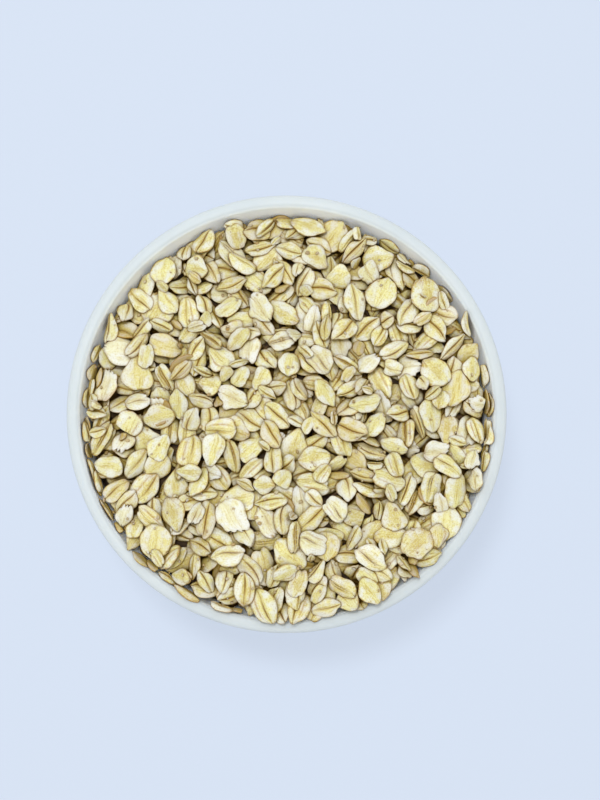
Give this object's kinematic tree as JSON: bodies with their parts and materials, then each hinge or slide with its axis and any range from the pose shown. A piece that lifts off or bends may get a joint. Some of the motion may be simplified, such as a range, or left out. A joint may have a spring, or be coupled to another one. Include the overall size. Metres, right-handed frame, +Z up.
{
  "type": "bowl of rolled oats",
  "caption": "Round white porcelain bowl on a foot ring, filled to a low heap of dry rolled oat flakes.",
  "frame": {"origin": "centre of the foot ring's underside, where the bowl stands", "axes": "+Z up through the bowl's axis; +X is the right side and +Y the top of the straight-down view"},
  "size_m": [0.14, 0.14, 0.0635],
  "materials": {
    "bowl": "white porcelain with a soft clear glaze, bare at the foot ring",
    "oats": "dry, floury, matt cream flakes with tan edges and brown creases"
  },
  "bodies": {
    "root": {"bowl": "bowl", "rolled_oats": "oats"}
  },
  "joints": []
}
